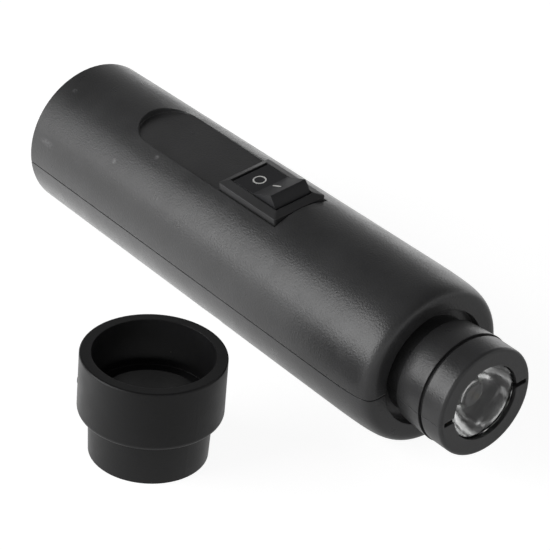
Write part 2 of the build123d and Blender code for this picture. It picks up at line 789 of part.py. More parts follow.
def lens_holder():
    """Cup behind the lens flange: it carries the lens and clamps the board against the neck's step."""
    rear = lens_flange_back - holder_length
    outer = lens_flange_radius + holder_wall / 4
    cup = tube(rear, lens_flange_back, outer, outer - holder_wall)
    return cup + tube(rear, rear + holder_floor, outer - holder_wall / 2, lens_foot_radius + holder_wall)


def led_board():
    """Round circuit board behind the lens."""
    return tube(board_back, board_front, board_radius)


def led_emitter():
    """Surface-mount emitter: square package with a domed window."""
    half = emitter_side / 2
    front = board_front + emitter_base
    package = block((board_front, front), (-half, half), (-half, half))
    dome = Pos(front, 0, 0) * Sphere(emitter_dome_radius)
    return package + (dome & block((board_front, 0), (-half, half), (-half, half)))


def resistor():
    """Axial resistor lying against the back of the board, its bent legs soldered to it."""
    x = board_back - resistor_radius - running_clearance
    body = Pos(x, 0, resistor_height) * Rot(90, 0, 0) * Cylinder(resistor_radius, resistor_length)
    body = fillet(body.edges(), resistor_radius / 3)
    span = resistor_length / 2 + 2 * resistor_radius
    leg_bend = 2 * resistor_leg_radius
    path = FilletPolyline(
        (board_back - running_clearance, -span, resistor_height), (x, -span, resistor_height),
        (x, span, resistor_height), (board_back - running_clearance, span, resistor_height), radius=leg_bend,
    )
    section = Plane(origin=path @ 0, z_dir=path % 0) * Circle(resistor_leg_radius)
    return body + sweep(section, path=path)


def cap_outline():
    """Half outline of the stepped cap: nose, rounded step, cup with its rim, socket and ledge."""
    ledge = cap_height - cap_socket_depth
    step, r = cap_step_level, cap_step_round
    nose = Polyline((cap_nose_bore, 0), (cap_nose_radius, 0), (cap_nose_top_radius, step), (cap_cup_radius - r, step))
    shoulder = CenterArc((cap_cup_radius - r, step + r), r, -90, 90)
    rim = cap_height - cap_rim_round
    side = Line((cap_cup_radius, step + r), (cap_cup_radius, rim))
    lip = CenterArc((cap_cup_radius - cap_rim_round, rim), cap_rim_round, 0, 90)
    socket = Polyline(
        (cap_cup_radius - cap_rim_round, cap_height), (cap_socket_radius, cap_height),
        (cap_socket_radius, ledge), (cap_nose_bore, ledge), (cap_nose_bore, 0),
    )
    return make_face(nose + shoulder + side + lip + socket)


def candling_cap():
    """Loose push-on cap: its wide socket fits the nose ring, its narrow end lets out a smaller beam."""
    return revolve(Plane.XZ * cap_outline(), Axis.Z)


def lamp_placement():
    """Roll the lamp about its beam, tip it onto the line that its tapered body rests on, lift it."""
    tip = radians(tip_angle)
    lift = front_radius * cos(tip) - shoulder_start * sin(tip)
    return Pos(0, 0, lift) * Rot(0, -tip_angle, 0) * Rot(lamp_roll, 0, 0)


def make_nodes():
    """Every piece by name, the lamp's as it lies and the cap where it stands."""
    wires = leads()
    right, left, lower = (cell_centres[name] for name in ("right", "left", "lower"))
    rear_plate = rear_contact_face - contact_thickness
    lamp = {
        "upper_shell": upper_shell(),
        "lower_shell": lower_shell(),
        "shell_screws": shell_screws(),
        "battery_door": battery_door(),
        "cell_right": cell("right", cell_facing["right"]),
        "cell_left": cell("left", cell_facing["left"]),
        "cell_lower": cell("lower", cell_facing["lower"]),
        "rear_contact_carrier": rear_contact_carrier(),
        "rear_bridge_contact": contact_plate(rear_plate, contact_thickness, right, lower),
        "rear_end_contact": contact_plate(rear_plate, contact_thickness, left, tab=(0, lead_level)),
        "front_contact_carrier": front_contact_carrier(),
        "front_bridge_contact": contact_plate(front_contact_face, contact_thickness, left, right),
        "front_end_contact": contact_plate(front_contact_face, contact_thickness, lower),
        "contact_springs": contact_springs(),
        "switch_housing": switch_housing(),
        "common_terminal": common_terminal(),
        "load_terminal": load_terminal(),
        "contact_arm": contact_arm(),
        "rocker": rocker(),
        "rocker_plunger": rocker_plunger(),
        "plunger_spring": plunger_spring(),
        "lens": lens(),
        "lens_holder": lens_holder(),
        "led_board": led_board(),
        "led_emitter": led_emitter(),
        "resistor": resistor(),
        "lead_cells_to_board": wires[0],
        "lead_cells_to_switch": wires[1],
        "lead_switch_to_board": wires[2],
    }
    placement = lamp_placement()
    placed = {name: placement * solid for name, solid in lamp.items()}
    placed["candling_cap"] = Pos(cap_along, cap_across, 0) * candling_cap()
    return placed


def footprint_centre(placed):
    """Middle of the whole assembly's footprint on the surface, and the level of its lowest point."""
    boxes = [solid.bounding_box() for solid in placed.values()]
    low = [min(getattr(box.min, axis) for box in boxes) for axis in "XYZ"]
    high = [max(getattr(box.max, axis) for box in boxes) for axis in "XYZ"]
    return (low[0] + high[0]) / 2, (low[1] + high[1]) / 2, low[2]


def main():
    """Write one STEP file for each piece, centred over the footprint."""
    os.makedirs("parts", exist_ok=True)
    placed = make_nodes()
    x, y, z = footprint_centre(placed)
    print("centre shift", round(-x, 4), round(-y, 4), round(-z, 4))
    for name, solid in placed.items():
        export_step(Pos(-x, -y, -z) * solid, f"parts/{name}.step")


main()
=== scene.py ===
"""Looks of a battery egg candling lamp that lies on a pale floor with its loose cap beside it.

Every length is in metres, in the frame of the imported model. The lamp's own frame has +X along the beam with
the front face at x = 0 and +Z towards the switch; LampPlacement carries points from it to where the lamp lies.
"""

import json
import logging
from dataclasses import dataclass, field, replace
from enum import Enum
from math import cos, pi, radians, sin, tan

import bmesh
import bpy
import numpy as np
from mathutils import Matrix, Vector

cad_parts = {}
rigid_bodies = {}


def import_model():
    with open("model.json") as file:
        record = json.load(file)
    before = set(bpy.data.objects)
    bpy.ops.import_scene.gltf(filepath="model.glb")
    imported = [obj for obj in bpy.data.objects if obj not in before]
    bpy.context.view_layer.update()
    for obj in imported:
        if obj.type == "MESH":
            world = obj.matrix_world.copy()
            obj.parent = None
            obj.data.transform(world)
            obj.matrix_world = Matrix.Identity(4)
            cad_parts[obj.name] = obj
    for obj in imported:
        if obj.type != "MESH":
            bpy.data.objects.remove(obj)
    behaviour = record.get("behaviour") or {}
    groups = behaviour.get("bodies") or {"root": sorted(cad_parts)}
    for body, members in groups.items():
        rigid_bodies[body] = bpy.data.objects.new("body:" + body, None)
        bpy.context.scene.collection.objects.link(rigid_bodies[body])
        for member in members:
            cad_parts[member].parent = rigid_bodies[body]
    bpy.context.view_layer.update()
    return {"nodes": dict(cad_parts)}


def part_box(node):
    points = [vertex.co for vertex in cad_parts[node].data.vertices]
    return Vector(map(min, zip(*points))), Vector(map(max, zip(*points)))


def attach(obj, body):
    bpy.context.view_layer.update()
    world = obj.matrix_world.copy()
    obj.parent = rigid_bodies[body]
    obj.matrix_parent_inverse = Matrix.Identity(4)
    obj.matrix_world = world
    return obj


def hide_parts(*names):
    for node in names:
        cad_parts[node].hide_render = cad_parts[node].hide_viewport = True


log = logging.getLogger("candling_lamp")

MM = 0.001
MERGE = 0.0001 * MM
RGB = tuple[float, float, float]
Socket = bpy.types.NodeSocket


def clear_scene() -> None:
    """Remove whatever the empty start-up scene holds."""
    for leftover in list(bpy.data.objects):
        bpy.data.objects.remove(leftover)


clear_scene()
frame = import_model()


class Recipe:
    """A material's nodes, laid out step by step from Object coordinates."""

    def __init__(self, name: str) -> None:
        """Start a material with one Principled shader.

        Args:
            name: the material's name.
        """
        self.material = bpy.data.materials.new(name)
        self.material.use_nodes = True
        self.tree = self.material.node_tree
        self.tree.nodes.clear()
        self.output = self.add("ShaderNodeOutputMaterial")
        self.shader = self.add("ShaderNodeBsdfPrincipled")
        self.join(self.shader.outputs["BSDF"], self.output.inputs["Surface"])
        self.where = self.add("ShaderNodeTexCoord").outputs["Object"]

    def add(self, kind: str, **settings: object) -> bpy.types.Node:
        """Add a node and set its plain properties.

        Args:
            kind: the node's type name.
            settings: properties of the node, by name.

        Returns:
            The new node.
        """
        node = self.tree.nodes.new(kind)
        for key, value in settings.items():
            setattr(node, key, value)
        return node

    def join(self, source: Socket, target: Socket) -> None:
        """Link one socket to another."""
        self.tree.links.new(source, target)

    def constant(self, **values: object) -> None:
        """Set fixed values on the shader's own sockets; underscores in a name stand for spaces."""
        for key, value in values.items():
            self.shader.inputs[key.replace("_", " ")].default_value = value

    def noise(self, size: float, detail: float = 2.0, rough: float = 0.5, stretch: RGB = (1, 1, 1)) -> Socket:
        """Cloudy noise whose lumps have about the given size.

        Args:
            size: lump size in metres.
            detail: how many finer layers lie on top.
            rough: how strong the finer layers are.
            stretch: how much denser the noise is along each axis.

        Returns:
            A socket with values round 0.5.
        """
        mapping = self.add("ShaderNodeMapping")
        mapping.inputs["Scale"].default_value = tuple(s / size for s in stretch)
        self.join(self.where, mapping.inputs["Vector"])
        noise = self.add("ShaderNodeTexNoise")
        noise.inputs["Scale"].default_value = 1.0
        noise.inputs["Detail"].default_value = detail
        noise.inputs["Roughness"].default_value = rough
        self.join(mapping.outputs["Vector"], noise.inputs["Vector"])
        return noise.outputs["Fac"]

    def spread(self, source: Socket, low: float, high: float, start: float = 0.0, end: float = 1.0) -> Socket:
        """Carry the range low to high of a socket onto start to end, and hold it there beyond.

        Args:
            source: the socket to read.
            low: value that becomes start.
            high: value that becomes end.
            start: result at low.
            end: result at high.

        Returns:
            The carried value.
        """
        node = self.add("ShaderNodeMapRange", clamp=True)
        for name, value in (("From Min", low), ("From Max", high), ("To Min", start), ("To Max", end)):
            node.inputs[name].default_value = value
        self.join(source, node.inputs["Value"])
        return node.outputs["Result"]

    def math(self, operation: str, first: Socket | float, second: Socket | float = 0.0) -> Socket:
        """Arithmetic on sockets or numbers.

        Args:
            operation: the name of a Math node's operation.
            first: first operand.
            second: second operand.

        Returns:
            The result.
        """
        node = self.add("ShaderNodeMath", operation=operation)
        for slot, value in zip(node.inputs, (first, second)):
            if isinstance(value, (int, float)):
                slot.default_value = value
            else:
                self.join(value, slot)
        return node.outputs["Value"]

    def blend(self, share: Socket | float, first: RGB | Socket, second: RGB | Socket) -> Socket:
        """Mix two colours.

        Args:
            share: 0 gives the first colour and 1 the second.
            first: a colour or a colour socket.
            second: a colour or a colour socket.

        Returns:
            The mixed colour.
        """
        node = self.add("ShaderNodeMix", data_type="RGBA")
        sockets = {s.name: s for s in node.inputs if s.type == "RGBA"}
        for slot, value in ((sockets["A"], first), (sockets["B"], second)):
            if isinstance(value, tuple):
                slot.default_value = (*value, 1.0)
            else:
                self.join(value, slot)
        if isinstance(share, (int, float)):
            node.inputs["Factor"].default_value = share
        else:
            self.join(share, node.inputs["Factor"])
        return next(s for s in node.outputs if s.type == "RGBA")

    def axis(self, name: str) -> Socket:
        """One Object coordinate, by its letter."""
        split = self.add("ShaderNodeSeparateXYZ")
        self.join(self.where, split.inputs["Vector"])
        return split.outputs[name]

    def specks(self, spacing: float, size: float, share: float) -> Socket:
        """Sparse round specks.

        A speck stands where the distance to the nearest scattered point is under its size, and a slow noise
        keeps only the given share of them.

        Args:
            spacing: usual distance between the scattered points, in metres.
            size: radius of a speck, in metres.
            share: share of the specks that are kept.

        Returns:
            1 inside a kept speck and 0 outside.
        """
        cells = self.add("ShaderNodeTexVoronoi")
        cells.inputs["Scale"].default_value = 1.0 / spacing
        self.join(self.where, cells.inputs["Vector"])
        near = self.spread(cells.outputs["Distance"], size / spacing, 0.5 * size / spacing)
        split = self.add("ShaderNodeSeparateColor")
        self.join(cells.outputs["Color"], split.inputs["Color"])
        kept = self.math("GREATER_THAN", split.outputs["Red"], 1.0 - share)
        return self.math("MULTIPLY", near, kept)

    def rounded_edge(self, radius: float) -> Socket:
        """Normal that turns smoothly round sharp edges, as on a moulded piece."""
        bevel = self.add("ShaderNodeBevel", samples=6)
        bevel.inputs["Radius"].default_value = radius
        return bevel.outputs["Normal"]

    def bump(self, height: Socket, depth: float, normal: Socket | None = None) -> Socket:
        """Bend the normal by a height map.

        Args:
            height: heights from 0 to 1.
            depth: how far 1 stands above 0, in metres.
            normal: a normal to start from.

        Returns:
            The bent normal.
        """
        node = self.add("ShaderNodeBump")
        node.inputs["Distance"].default_value = depth
        self.join(height, node.inputs["Height"])
        if normal is not None:
            self.join(normal, node.inputs["Normal"])
        return node.outputs["Normal"]

    def paint(self, colour: Socket | None = None, roughness: Socket | None = None, normal: Socket | None = None) -> None:
        """Join what varies over the surface to the shader."""
        for source, target in ((colour, "Base Color"), (roughness, "Roughness"), (normal, "Normal")):
            if source is not None:
                self.join(source, self.shader.inputs[target])


@dataclass(frozen=True)
class Scuff:
    """A pale rub or chip at one place of a surface, longer along X than across."""

    place: RGB
    radius: float
    stretch: float = 1.0
    strength: float = 0.6

    def share(self, recipe: Recipe) -> Socket:
        """Share of the pale colour: one at the scuff's middle, none past its radius, and frayed between.

        Args:
            recipe: the material that gets the scuff.

        Returns:
            The share, from 0 to its strength.
        """
        mapping = recipe.add("ShaderNodeMapping", vector_type="POINT")
        scale = (1 / (self.radius * self.stretch), 1 / self.radius, 1 / self.radius)
        mapping.inputs["Scale"].default_value = scale
        mapping.inputs["Location"].default_value = tuple(-p * f for p, f in zip(self.place, scale))
        recipe.join(recipe.where, mapping.inputs["Vector"])
        reach = recipe.add("ShaderNodeVectorMath", operation="LENGTH")
        recipe.join(mapping.outputs["Vector"], reach.inputs[0])
        inside = recipe.spread(reach.outputs["Value"], 1.0, 0.3)
        frayed = recipe.spread(recipe.noise(0.7 * MM, 4.0, 0.7), 0.38, 0.6)
        return recipe.math("MULTIPLY", recipe.math("MULTIPLY", inside, frayed), self.strength)


@dataclass(frozen=True)
class MouldedPlastic:
    """Injection-moulded plastic with a spark-eroded grain, slow mottling, dust, scuffs and handled edges."""

    colour: RGB
    roughness: float
    grain: float = 0.44 * MM
    grain_depth: float = 0.02 * MM
    mottle: float = 0.18
    ior: float = 1.5
    dust: float = 0.0
    edge: float = 0.12 * MM
    edge_wear: float = 0.3
    scuffs: tuple[Scuff, ...] = ()

    def build(self, name: str) -> bpy.types.Material:
        """Make the material.

        Args:
            name: the material's name.

        Returns:
            The material.
        """
        recipe = Recipe(name)
        recipe.constant(IOR=self.ior)
        cloud = recipe.noise(14 * MM, 3.0, 0.55)
        shade = recipe.spread(cloud, 0.3, 0.7)
        dark = tuple(c * (1 - self.mottle) for c in self.colour)
        light = tuple(c * (1 + self.mottle) for c in self.colour)
        colour = recipe.blend(shade, dark, light)
        if self.dust:
            mote = recipe.specks(3.4 * MM, 0.11 * MM, self.dust)
            colour = recipe.blend(recipe.math("MULTIPLY", mote, 0.5), colour, (0.32, 0.31, 0.29))
        turned = recipe.rounded_edge(self.edge)
        if self.edge_wear:
            colour = recipe.blend(self._worn(recipe, turned), colour, tuple(c * 3.2 for c in self.colour))
        rough = recipe.spread(recipe.noise(5 * MM, 4.0, 0.6), 0.25, 0.75, self.roughness - 0.05, self.roughness + 0.05)
        for scuff in self.scuffs:
            colour = recipe.blend(scuff.share(recipe), colour, tuple(c * 5.0 for c in self.colour))
        grain = recipe.spread(recipe.noise(self.grain, 1.5, 0.6), 0.3, 0.7)
        recipe.paint(colour, rough, recipe.bump(grain, self.grain_depth, turned))
        return recipe.material

    def _worn(self, recipe: Recipe, turned: Socket) -> Socket:
        """Share of wear: where the rounded normal leaves the true one, broken up by a fine noise."""
        true = recipe.add("ShaderNodeNewGeometry").outputs["Normal"]
        dot = recipe.add("ShaderNodeVectorMath", operation="DOT_PRODUCT")
        recipe.join(turned, dot.inputs[0])
        recipe.join(true, dot.inputs[1])
        bent = recipe.spread(dot.outputs["Value"], 0.99, 0.86)
        broken = recipe.spread(recipe.noise(1.1 * MM, 4.0, 0.7), 0.35, 0.62)
        return recipe.math("MULTIPLY", recipe.math("MULTIPLY", bent, broken), self.edge_wear)


@dataclass(frozen=True)
class ClearPlastic:
    """Polished acrylic of an optical piece, with the faintest ripple from its mould."""

    tint: RGB
    roughness: float = 0.13
    ripple: float = 0.03 * MM

    def build(self, name: str) -> bpy.types.Material:
        """Make the material.

        Args:
            name: the material's name.

        Returns:
            The material.
        """
        recipe = Recipe(name)
        recipe.constant(IOR=1.49, Transmission_Weight=1.0, Base_Color=(*self.tint, 1.0))
        haze = recipe.spread(recipe.noise(1.5 * MM, 3.0), 0.4, 0.7, self.roughness * 0.5, self.roughness * 1.5)
        recipe.paint(roughness=haze, normal=recipe.bump(recipe.noise(2.2 * MM, 1.0), self.ripple))
        return recipe.material


@dataclass(frozen=True)
class SheetMetal:
    """Stamped or drawn metal with a fine run of scratches and a little tarnish."""

    colour: RGB
    tarnish: RGB
    roughness: float
    run: RGB = (1.0, 8.0, 8.0)
    edge: float = 0.05 * MM

    def build(self, name: str) -> bpy.types.Material:
        """Make the material.

        Args:
            name: the material's name.

        Returns:
            The material.
        """
        recipe = Recipe(name)
        recipe.constant(Metallic=1.0)
        patch = recipe.spread(recipe.noise(2.5 * MM, 4.0, 0.6), 0.48, 0.75)
        colour = recipe.blend(patch, self.colour, self.tarnish)
        lines = recipe.noise(0.9 * MM, 3.0, 0.7, self.run)
        rough = recipe.spread(lines, 0.3, 0.7, self.roughness - 0.07, self.roughness + 0.07)
        recipe.paint(colour, rough, recipe.bump(lines, 0.002 * MM, recipe.rounded_edge(self.edge)))
        return recipe.material


@dataclass(frozen=True)
class CellSleeve:
    """Shrink-wrapped sleeve of a round cell: dark over most of its length, with a copper band and a bare end."""

    low: float
    high: float
    body: RGB = (0.012, 0.014, 0.018)
    band: RGB = (0.55, 0.26, 0.11)
    bare: RGB = (0.72, 0.71, 0.68)
    pole_at_high: bool = True

    def build(self, name: str) -> bpy.types.Material:
        """Make the material; low and high are the X coordinates of the cell's two ends.

        Args:
            name: the material's name.

        Returns:
            The material.
        """
        recipe = Recipe(name)
        start, end = (self.low, self.high) if self.pole_at_high else (self.high, self.low)
        along = recipe.spread(recipe.axis("X"), start, end)
        band = recipe.math("GREATER_THAN", along, 0.72)
        bare = recipe.math("GREATER_THAN", along, 0.972)
        flat = recipe.math("LESS_THAN", along, 0.012)
        metal = recipe.math("MAXIMUM", bare, flat)
        cloud = recipe.spread(recipe.noise(6 * MM, 3.0), 0.3, 0.7, 0.85, 1.15)
        colour = recipe.blend(metal, recipe.blend(band, self.body, self.band), self.bare)
        toned = recipe.add("ShaderNodeVectorMath", operation="SCALE")
        recipe.join(colour, toned.inputs[0])
        recipe.join(cloud, toned.inputs["Scale"])
        recipe.join(metal, recipe.shader.inputs["Metallic"])
        rough = recipe.spread(recipe.noise(1.8 * MM, 3.0), 0.3, 0.7, 0.18, 0.32)
        recipe.paint(toned.outputs["Vector"], rough, recipe.bump(recipe.noise(3 * MM, 2.0), 0.01 * MM))
        return recipe.material


@dataclass(frozen=True)
class WireCoat:
    """Insulation of a thin wire: soft sheen, drawn lines along the wire and a little grime."""

    colour: RGB
    roughness: float = 0.38

    def build(self, name: str) -> bpy.types.Material:
        """Make the material.

        Args:
            name: the material's name.

        Returns:
            The material.
        """
        recipe = Recipe(name)
        recipe.constant(IOR=1.48)
        grime = recipe.spread(recipe.noise(2 * MM, 4.0, 0.65), 0.5, 0.8, 0.0, 0.35)
        colour = recipe.blend(grime, self.colour, tuple(c * 0.35 for c in self.colour))
        recipe.paint(colour, recipe.spread(grime, 0, 0.35, self.roughness, 0.6),
                     recipe.bump(recipe.noise(0.3 * MM, 2.0), 0.004 * MM))
        return recipe.material


@dataclass(frozen=True)
class CircuitBoard:
    """White-masked board: glossy lacquer over copper tracks that stand up faintly."""

    mask: RGB = (0.62, 0.64, 0.6)
    track: RGB = (0.5, 0.53, 0.48)
    pitch: float = 2.6 * MM

    def build(self, name: str) -> bpy.types.Material:
        """Make the material.

        Args:
            name: the material's name.

        Returns:
            The material.
        """
        recipe = Recipe(name)
        bands = recipe.add("ShaderNodeTexVoronoi", distance="CHEBYCHEV")
        bands.inputs["Scale"].default_value = 1.0 / self.pitch
        recipe.join(recipe.where, bands.inputs["Vector"])
        track = recipe.spread(bands.outputs["Distance"], 0.32, 0.36)
        recipe.paint(recipe.blend(track, self.mask, self.track),
                     recipe.spread(recipe.noise(2 * MM), 0.3, 0.7, 0.2, 0.3), recipe.bump(track, 0.02 * MM))
        return recipe.material


@dataclass(frozen=True)
class ResistorCoat:
    """Dipped body with plain tolerance bands across its length; a blend towards tin at the ends never shows, since the
    share along the body stays between 0 and 1.
    """

    middle: float
    half_length: float
    coat: RGB = (0.52, 0.36, 0.2)

    def build(self, name: str) -> bpy.types.Material:
        """Make the material; middle and half_length place the bands along Y.

        Args:
            name: the material's name.

        Returns:
            The material.
        """
        recipe = Recipe(name)
        along = recipe.spread(recipe.axis("Y"), self.middle - self.half_length, self.middle + self.half_length)
        colour: RGB | Socket = self.coat
        for place, tone in ((0.2, (0.35, 0.03, 0.02)), (0.38, (0.02, 0.02, 0.02)), (0.56, (0.1, 0.05, 0.02))):
            off = recipe.math("ABSOLUTE", recipe.math("SUBTRACT", along, place))
            colour = recipe.blend(recipe.math("LESS_THAN", off, 0.045), colour, tone)
        end = recipe.math("GREATER_THAN", recipe.math("ABSOLUTE", recipe.math("SUBTRACT", along, 0.5)), 0.5)
        colour = recipe.blend(end, colour, (0.6, 0.6, 0.58))
        recipe.paint(colour, recipe.spread(recipe.noise(0.8 * MM), 0.3, 0.7, 0.3, 0.42),
                     recipe.bump(recipe.noise(0.5 * MM), 0.01 * MM))
        return recipe.material


@dataclass(frozen=True)
class PrintedInk:
    """Pad-printed white mark with slightly uneven cover."""

    colour: RGB = (0.82, 0.82, 0.8)

    def build(self, name: str) -> bpy.types.Material:
        """Make the material.

        Args:
            name: the material's name.

        Returns:
            The material.
        """
        recipe = Recipe(name)
        cover = recipe.spread(recipe.noise(0.25 * MM, 3.0, 0.7), 0.25, 0.55)
        colour = recipe.blend(cover, tuple(c * 0.7 for c in self.colour), self.colour)
        recipe.paint(colour, recipe.spread(cover, 0, 1, 0.6, 0.45), recipe.bump(cover, 0.003 * MM))
        return recipe.material


@dataclass(frozen=True)
class Phosphor:
    """Warm phosphor under clear silicone, on a pale ceramic base."""

    centre: tuple[float, float]
    radius: float
    colour: RGB = (0.9, 0.68, 0.2)
    deep: RGB = (0.75, 0.48, 0.1)
    ceramic: RGB = (0.8, 0.79, 0.75)
    roughness: float = 0.3

    def build(self, name: str) -> bpy.types.Material:
        """Make the material; centre and radius place the phosphor across Y and Z.

        Args:
            name: the material's name.

        Returns:
            The material.
        """
        recipe = Recipe(name)
        recipe.constant(Coat_Weight=0.6, Coat_Roughness=0.08)
        grain = recipe.spread(recipe.noise(0.12 * MM, 3.0, 0.6), 0.3, 0.7)
        across = recipe.math("SUBTRACT", recipe.axis("Y"), self.centre[0])
        up = recipe.math("SUBTRACT", recipe.axis("Z"), self.centre[1])
        square = recipe.math("ADD", recipe.math("POWER", across, 2.0), recipe.math("POWER", up, 2.0))
        outside = recipe.math("GREATER_THAN", square, self.radius**2)
        colour = recipe.blend(outside, recipe.blend(grain, self.deep, self.colour), self.ceramic)
        recipe.paint(colour, recipe.spread(grain, 0, 1, self.roughness, self.roughness + 0.1),
                     recipe.bump(grain, 0.004 * MM))
        return recipe.material


@dataclass(frozen=True)
class LampPlacement:
    """How the lamp lies: rolled about its beam, tipped onto its tapered side, lifted and centred."""

    roll: float = radians(8.0)
    front_radius: float = 20.0 * MM
    rear_radius: float = 19.0 * MM
    body_length: float = 147.0 * MM
    shoulder_start: float = -30.9 * MM
    shift: tuple[float, float] = (73.5253 * MM, 25.25 * MM)

    def carry(self, points: np.ndarray) -> np.ndarray:
        """Take points from the lamp's own frame to where the lamp lies.

        A point is turned about X by the roll, then about Y by the tip that lays the tapered side flat, then
        lifted and shifted.

        Args:
            points: coordinates in rows of three, in metres.

        Returns:
            The carried coordinates, in the same shape.
        """
        tip = np.arctan2(self.front_radius - self.rear_radius, self.body_length + self.shoulder_start)
        lift = self.front_radius * cos(tip) - self.shoulder_start * sin(tip)
        about_x = np.array([[1, 0, 0], [0, cos(self.roll), -sin(self.roll)], [0, sin(self.roll), cos(self.roll)]])
        about_y = np.array([[cos(-tip), 0, sin(-tip)], [0, 1, 0], [-sin(-tip), 0, cos(-tip)]])
        return points @ (about_y @ about_x).T + np.array([*self.shift, lift])


@dataclass(frozen=True)
class Surface:
    """A grid of points turned into a piece of the model."""

    points: np.ndarray
    wrap_u: bool = False
    wrap_v: bool = False

    def faces(self) -> np.ndarray:
        """Quads between neighbouring grid points.

        Point (i, j) has number i * columns + j. A face joins (i, j), (i + 1, j), (i + 1, j + 1) and (i, j + 1).

        Returns:
            Rows of four point numbers.
        """
        rows, columns = self.points.shape[:2]
        i = np.arange(rows if self.wrap_u else rows - 1)
        j = np.arange(columns if self.wrap_v else columns - 1)
        a, b = np.meshgrid(i, j, indexing="ij")
        a, b = a.ravel(), b.ravel()
        a2, b2 = (a + 1) % rows, (b + 1) % columns
        return np.stack([a * columns + b, a2 * columns + b, a2 * columns + b2, a * columns + b2], axis=1)

    def piece(self, name: str, placement: LampPlacement | None = None) -> bpy.types.Object:
        """Make the object, its place in its mesh, with points that coincide at a pole merged into one.

        Args:
            name: the piece's name.
            placement: carries the points to where the lamp lies; None leaves them where they are.

        Returns:
            The new object.
        """
        points = self.points.reshape(-1, 3)
        mesh = bpy.data.meshes.new(name)
        mesh.from_pydata((placement.carry(points) if placement else points).tolist(), [], self.faces().tolist())
        shape = bmesh.new()
        shape.from_mesh(mesh)
        bmesh.ops.remove_doubles(shape, verts=shape.verts, dist=MERGE)
        bmesh.ops.recalc_face_normals(shape, faces=shape.faces)
        shape.to_mesh(mesh)
        shape.free()
        mesh.polygons.foreach_set("use_smooth", np.ones(len(mesh.polygons), bool))
        mesh.update()
        piece = bpy.data.objects.new(name, mesh)
        bpy.context.scene.collection.objects.link(piece)
        return piece


def turned_profile(profile: np.ndarray, steps: int = 160) -> np.ndarray:
    """Revolve a profile about the lamp's axis.

    Point (x, r) of the profile at turn t stands at (x, r cos t, r sin t).

    Args:
        profile: rows of (x, radius), in metres.
        steps: points round the axis.

    Returns:
        Grid of steps by profile points.
    """
    turn = np.linspace(0, 2 * pi, steps, endpoint=False)[:, None]
    x, r = profile[:, 0][None, :], profile[:, 1][None, :]
    return np.stack([x + 0 * turn, r * np.cos(turn), r * np.sin(turn)], axis=-1)


def arc(centre: tuple[float, float], radius: float, start: float, end: float, steps: int) -> np.ndarray:
    """Points along a circular arc: centre plus radius times (cos, sin) of an angle that runs evenly.

    Args:
        centre: the arc's centre.
        radius: the arc's radius.
        start: first angle, in radians.
        end: last angle, in radians.
        steps: number of points.

    Returns:
        Rows of two coordinates.
    """
    angle = np.linspace(start, end, steps)
    return np.stack([centre[0] + radius * np.cos(angle), centre[1] + radius * np.sin(angle)], axis=1)


def dress(node: str, material: bpy.types.Material) -> None:
    """Give one CAD node a material in all its slots."""
    target = frame["nodes"][node]
    for index in range(max(1, len(target.material_slots))):
        if index >= len(target.material_slots):
            target.data.materials.append(material)
        target.material_slots[index].material = material
    log.info("dressed %s with %s", node, material.name)


@dataclass
class Clamshell:
    """The two body shells, the battery door and the screws."""

    scuffs: tuple[Scuff, ...] = (
        Scuff((-67.6 * MM, 6.9 * MM, 24.0 * MM), 1.1 * MM, 3.0, 0.55),
        Scuff((-69.0 * MM, 15.8 * MM, 35.5 * MM), 0.8 * MM, 1.2, 0.6),
        Scuff((-43.0 * MM, 9.2 * MM, 29.9 * MM), 0.9 * MM, 1.0, 0.8),
        Scuff((-32.1 * MM, 13.7 * MM, 34.9 * MM), 0.8 * MM, 1.0, 0.7),
    )
    shell: MouldedPlastic = MouldedPlastic(colour=(0.043, 0.043, 0.044), roughness=0.31, grain_depth=0.023 * MM, edge=0.3 * MM, dust=0.16)
    door: MouldedPlastic = MouldedPlastic(colour=(0.042, 0.042, 0.043), roughness=0.33, grain_depth=0.023 * MM, edge=0.3 * MM, dust=0.1)
    screw: SheetMetal = SheetMetal(colour=(0.5, 0.5, 0.5), tarnish=(0.3, 0.28, 0.24), roughness=0.34)

    def dress(self) -> None:
        """Give each piece of the body its finish."""
        moulded = replace(self.shell, scuffs=self.scuffs).build("black_moulded_shell")
        for node in ("upper_shell", "lower_shell"):
            dress(node, moulded)
        dress("battery_door", self.door.build("black_moulded_door"))
        dress("shell_screws", self.screw.build("zinc_plated_screw"))


